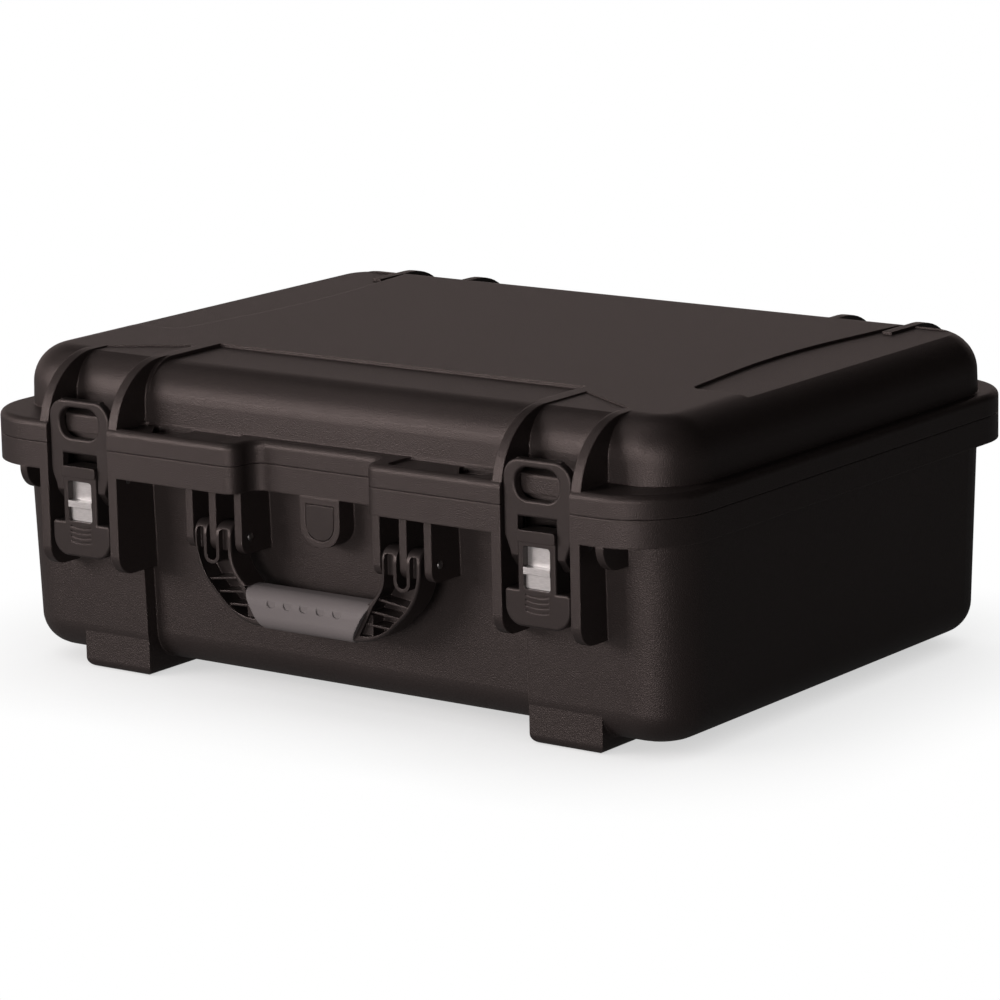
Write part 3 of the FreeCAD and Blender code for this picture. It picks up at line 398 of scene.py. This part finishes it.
# %% Heads on the handle's pins
HEAD_SUNK = 0.0002
for hand in ("left", "right"):
    pin = NODES["handle_pin_" + hand]
    corners = [pin.matrix_world @ Vector(corner) for corner in pin.bound_box]
    centre = sum(corners, Vector()) / len(corners)
    reach = max(corner.x for corner in corners) - centre.x
    for side, end_name in ((-1, "low_x"), (1, "high_x")):
        end = Vector((centre.x + side * (reach - HEAD_SUNK), centre.y, centre.z))
        pin_head("pin_head_%s_%s" % (hand, end_name), end, side)
        print("pin head at", tuple(round(c, 4) for c in end))

# %% [markdown]
# ## Studio
# The photograph has a white ground that runs up into a white background, while the case itself is lit from
# the left only, so that its right end is nearly black. The floor is one large sheet of paper.

# %% Floor
FLOOR_HALF = 6.0
floor_mesh = bpy.data.meshes.new("floor")
floor_mesh.from_pydata([(-FLOOR_HALF, -FLOOR_HALF, 0), (FLOOR_HALF, -FLOOR_HALF, 0),
                        (FLOOR_HALF, FLOOR_HALF, 0), (-FLOOR_HALF, FLOOR_HALF, 0)], [], [(0, 1, 2, 3)])
floor = bpy.data.objects.new("floor", floor_mesh)
bpy.context.scene.collection.objects.link(floor)
print("floor", 2 * FLOOR_HALF, "m square")

# %% [markdown]
# ### Paper
# The camera sees the paper white, as an exposed studio sweep, and mirrors see some of that white. Close to
# the case an ambient occlusion node finds less open room and lowers that white, a painted shadow. There the
# lit paper also comes through with the case's real shadow on it. For the light that it throws back on the
# case the paper is grey, as in a dim room.

# %% Paper
SEEN_WHITE = 1.0
SHADED_WHITE = 0.55
SHADOW_REACH = 0.12
MIRRORED_WHITE = 0.05
BOUNCED_GREY = (0.25, 0.25, 0.25, 1)
LIT_WHITE = (0.85, 0.85, 0.85, 1)
paper, sheet, paper_shader = new_material("white_paper")
feed(sheet, 0.9, paper_shader.inputs["Roughness"])
path = add_node(sheet, "ShaderNodeLightPath")
to_camera = path.outputs["Is Camera Ray"]
feed(sheet, mix(sheet, "RGBA", to_camera, BOUNCED_GREY, LIT_WHITE), paper_shader.inputs["Base Color"])
openness = add_node(sheet, "ShaderNodeAmbientOcclusion", samples=6)
feed(sheet, SHADOW_REACH, openness.inputs["Distance"])
# Painted shadow: near the case the ambient occlusion lowers the white that the camera sees.
painted_shadow_white = remap(sheet, openness.outputs["AO"], SHADED_WHITE, SEEN_WHITE)
seen = math_node(sheet, "MULTIPLY", to_camera, painted_shadow_white)
to_mirror = math_node(sheet, "MAXIMUM", path.outputs["Is Glossy Ray"], path.outputs["Is Transmission Ray"])
mirrored = math_node(sheet, "MULTIPLY", to_mirror, MIRRORED_WHITE)
blend = add_node(sheet, "ShaderNodeMixShader")
feed(sheet, math_node(sheet, "ADD", seen, mirrored), blend.inputs["Fac"])
feed(sheet, paper_shader.outputs["BSDF"], blend.inputs[1])
feed(sheet, add_node(sheet, "ShaderNodeEmission").outputs["Emission"], blend.inputs[2])
feed(sheet, blend.outputs["Shader"], sheet.nodes["Material Output"].inputs["Surface"])
floor_mesh.materials.append(paper)
print("paper with", len(sheet.nodes), "nodes")

# %% [markdown]
# ### The room
# The world is a dim warm room with one pale wall, behind the case and to its left. The flat top mirrors
# that wall at a low angle and looks paler than the sides. The ceiling and the right half of the room are
# dark: the bend of the lid's front edge mirrors the ceiling as a dark stripe, and the right end of the case
# has next to nothing to mirror.

# %% World
WALL_TONES = ((0.0, 0.58), (0.26, 0.46), (0.48, 0.04), (1.0, 0.02))
WALL_WARMTH = (1.0, 0.82, 0.78)
RIGHT_SHARE, LEFT_SHARE = 0.06, 1.0
DARK_SIDE, PALE_SIDE = 0.15, -0.35
world = bpy.data.worlds.new("studio")
world.use_nodes = True
bpy.context.scene.world = world
room = world.node_tree
towards = add_node(room, "ShaderNodeSeparateXYZ")
feed(room, add_node(room, "ShaderNodeTexCoord").outputs["Generated"], towards.inputs[0])
wall_stops = [(height, tuple(tone * tint for tint in WALL_WARMTH)) for height, tone in WALL_TONES]
feed(room, ramp(room, towards.outputs["Z"], wall_stops), room.nodes["Background"].inputs["Color"])
leftward = remap(room, towards.outputs["X"], RIGHT_SHARE, LEFT_SHARE,
                 window=(DARK_SIDE, PALE_SIDE), kind="SMOOTHSTEP")
feed(room, leftward, room.nodes["Background"].inputs["Strength"])
print("world with", len(WALL_TONES), "tones from the floor to the ceiling")

# %% [markdown]
# ### Lamps
# Three soft lamps light the case. The key stands low in front and to the left, and draws the broad light
# band along the lid's front and the bright lines on the edges. A lower lamp near the camera puts the
# highlight on the lid's corner and lifts what the latches and their ribs put in shadow. A weak one overhead
# keeps the shelf behind the rim from going black.

# %% Lamps
LAMP_WARMTH = (1.0, 0.91, 0.89)


def softbox(name, spot, aim, size, watts):
    """A rectangular lamp that faces a point."""
    lamp = bpy.data.lights.new(name, "AREA")
    lamp.shape = "RECTANGLE"
    lamp.size, lamp.size_y = size
    lamp.energy = watts
    lamp.color = LAMP_WARMTH
    holder = bpy.data.objects.new(name, lamp)
    holder.location = spot
    holder.rotation_euler = (Vector(aim) - Vector(spot)).to_track_quat("-Z", "Y").to_euler()
    bpy.context.scene.collection.objects.link(holder)
    return holder


softbox("key", spot=(-1.35, -2.00, 0.80), aim=(0, -0.10, 0.12), size=(1.3, 0.9), watts=33)
softbox("front_fill", spot=(0.65, -2.55, 0.36), aim=(0, -0.10, 0.10), size=(1.2, 0.6), watts=28)
softbox("top_fill", spot=(-0.9, -0.6, 2.2), aim=(0, 0, 0.15), size=(1.2, 1.2), watts=5)
